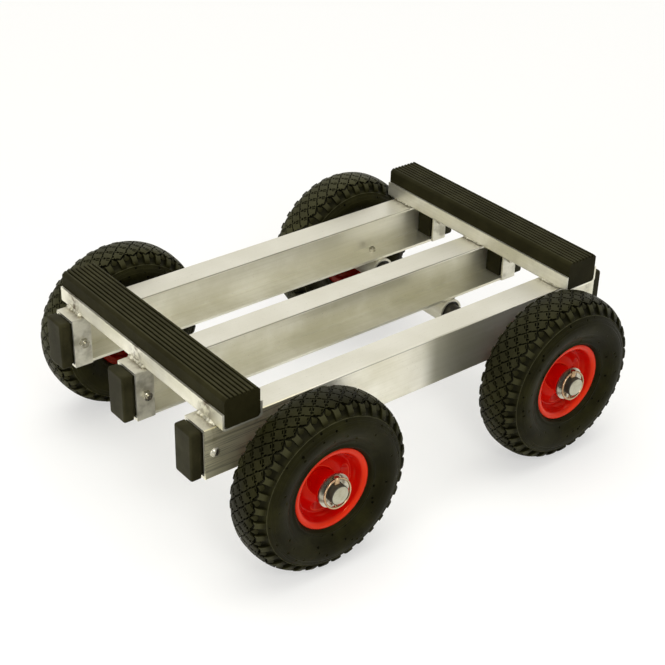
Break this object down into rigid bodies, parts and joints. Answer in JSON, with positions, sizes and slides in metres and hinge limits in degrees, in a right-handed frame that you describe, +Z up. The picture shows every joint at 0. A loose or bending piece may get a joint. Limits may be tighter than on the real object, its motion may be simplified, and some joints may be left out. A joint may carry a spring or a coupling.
{
  "type": "piano dolly",
  "caption": "Low four-wheeled dolly of aluminium channel rails with two rubber-padded crossbars, axles held by lynch pins and pneumatic wheels.",
  "frame": {"origin": "middle of the dolly's outline, on the floor under the tyres", "axes": "+X along the rails towards the rear end, +Y across to the right side, +Z up"},
  "size_m": [0.748, 0.5918, 0.275],
  "materials": {
    "aluminium": "mill finish, lightly brushed",
    "weld": "rough weld bead",
    "pad_rubber": "matt",
    "tyre": "matt moulded rubber",
    "tube_rubber": "matt",
    "red_paint": "gloss powder coat",
    "zinc_steel": "bright zinc plated",
    "axle_steel": "dark drawn bar with machined ends",
    "black_plastic": "matt"
  },
  "bodies": {
    "frame": {"rail_left": "aluminium", "rail_middle": "aluminium", "rail_right": "aluminium", "crossbar_front": "aluminium", "crossbar_rear": "aluminium", "pad_front": "pad_rubber", "pad_rear": "pad_rubber", "crossbar_welds": "weld", "sleeve_welds": "weld", "buffer_front_left": "pad_rubber", "buffer_front_middle": "pad_rubber", "buffer_front_right": "pad_rubber", "buffer_rear_left": "pad_rubber", "buffer_rear_middle": "pad_rubber", "buffer_rear_right": "pad_rubber", "closing_plates": "aluminium", "buffer_bolts": "zinc_steel", "buffer_nuts": "zinc_steel", "axle_sleeves": "aluminium", "axle_bushes": "black_plastic", "lock_screws": "zinc_steel", "lock_nuts": "zinc_steel", "axle_front": "axle_steel", "axle_rear": "axle_steel", "axle_washers": "zinc_steel", "lynch_pin_front_left": "zinc_steel", "lynch_pin_front_right": "zinc_steel", "lynch_pin_rear_left": "zinc_steel", "lynch_pin_rear_right": "zinc_steel"},
    "wheel_front_left": {"tyre_front_left": "tyre", "inner_tube_front_left": "tube_rubber", "rim_outer_front_left": "red_paint", "rim_inner_front_left": "red_paint", "rim_screws_front_left": "zinc_steel", "hub_front_left": "zinc_steel"},
    "wheel_front_right": {"tyre_front_right": "tyre", "inner_tube_front_right": "tube_rubber", "rim_outer_front_right": "red_paint", "rim_inner_front_right": "red_paint", "rim_screws_front_right": "zinc_steel", "hub_front_right": "zinc_steel"},
    "wheel_rear_left": {"tyre_rear_left": "tyre", "inner_tube_rear_left": "tube_rubber", "rim_outer_rear_left": "red_paint", "rim_inner_rear_left": "red_paint", "rim_screws_rear_left": "zinc_steel", "hub_rear_left": "zinc_steel"},
    "wheel_rear_right": {"tyre_rear_right": "tyre", "inner_tube_rear_right": "tube_rubber", "rim_outer_rear_right": "red_paint", "rim_inner_rear_right": "red_paint", "rim_screws_rear_right": "zinc_steel", "hub_rear_right": "zinc_steel"},
    "ring_front_left_body": {"ring_front_left": "zinc_steel"},
    "ring_front_right_body": {"ring_front_right": "zinc_steel"},
    "ring_rear_left_body": {"ring_rear_left": "zinc_steel"},
    "ring_rear_right_body": {"ring_rear_right": "zinc_steel"}
  },
  "joints": [
    {"name": "wheel_front_left_spin", "type": "hinge", "parent": "frame", "child": "wheel_front_left", "pos_m": [-0.218, -0.2505, 0.13], "axis": [0, 1, 0], "continuous": true},
    {"name": "wheel_front_right_spin", "type": "hinge", "parent": "frame", "child": "wheel_front_right", "pos_m": [-0.218, 0.2505, 0.13], "axis": [0, 1, 0], "continuous": true},
    {"name": "wheel_rear_left_spin", "type": "hinge", "parent": "frame", "child": "wheel_rear_left", "pos_m": [0.218, -0.2505, 0.13], "axis": [0, 1, 0], "continuous": true},
    {"name": "wheel_rear_right_spin", "type": "hinge", "parent": "frame", "child": "wheel_rear_right", "pos_m": [0.218, 0.2505, 0.13], "axis": [0, 1, 0], "continuous": true},
    {"name": "ring_front_left_swing", "type": "hinge", "parent": "frame", "child": "ring_front_left_body", "pos_m": [-0.218, -0.2874, 0.151], "axis": [-1, 0, 0], "range_deg": [0, 160]},
    {"name": "ring_front_right_swing", "type": "hinge", "parent": "frame", "child": "ring_front_right_body", "pos_m": [-0.218, 0.2874, 0.151], "axis": [1, 0, 0], "range_deg": [0, 160]},
    {"name": "ring_rear_left_swing", "type": "hinge", "parent": "frame", "child": "ring_rear_left_body", "pos_m": [0.218, -0.2874, 0.151], "axis": [-1, 0, 0], "range_deg": [0, 160]},
    {"name": "ring_rear_right_swing", "type": "hinge", "parent": "frame", "child": "ring_rear_right_body", "pos_m": [0.218, 0.2874, 0.151], "axis": [1, 0, 0], "range_deg": [0, 160]}
  ]
}
